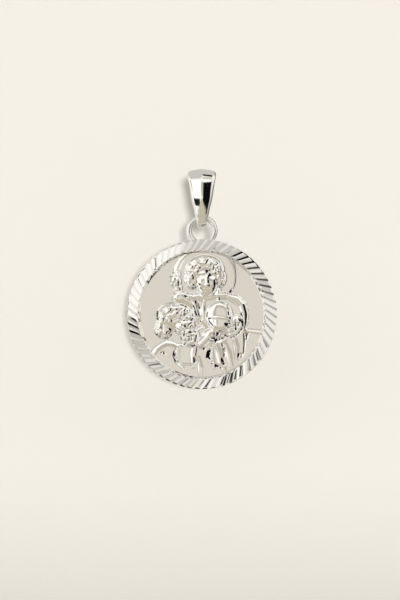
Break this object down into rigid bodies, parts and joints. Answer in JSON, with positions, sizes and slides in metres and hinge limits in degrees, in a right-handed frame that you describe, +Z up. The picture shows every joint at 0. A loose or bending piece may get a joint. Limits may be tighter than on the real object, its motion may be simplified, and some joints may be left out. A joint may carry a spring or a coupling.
{
  "type": "religious medal pendant",
  "caption": "Round silver medal with a diamond-cut border and raised figures of a bearded man and a haloed child, on a tapered bail that a chain passes through.",
  "frame": {"origin": "where a chain bears on the inside of the bail's eye, at its highest point, midway across the bail", "axes": "+Z up along the hanging pendant, -Y out of the medal's relief side, +X to the right as the relief is seen"},
  "size_m": [0.02, 0.0037, 0.0294],
  "materials": {
    "bail_silver": "mirror-polished sterling silver",
    "medal_silver": "bright struck sterling silver with a fine satin field"
  },
  "bodies": {
    "bail": {"bail": "bail_silver"},
    "medal": {"medal": "medal_silver"}
  },
  "joints": [
    {"name": "medal_swing", "type": "hinge", "parent": "bail", "child": "medal", "pos_m": [0, 0, -0.00578], "axis": [1, 0, 0], "range_deg": [-60, 60]}
  ]
}
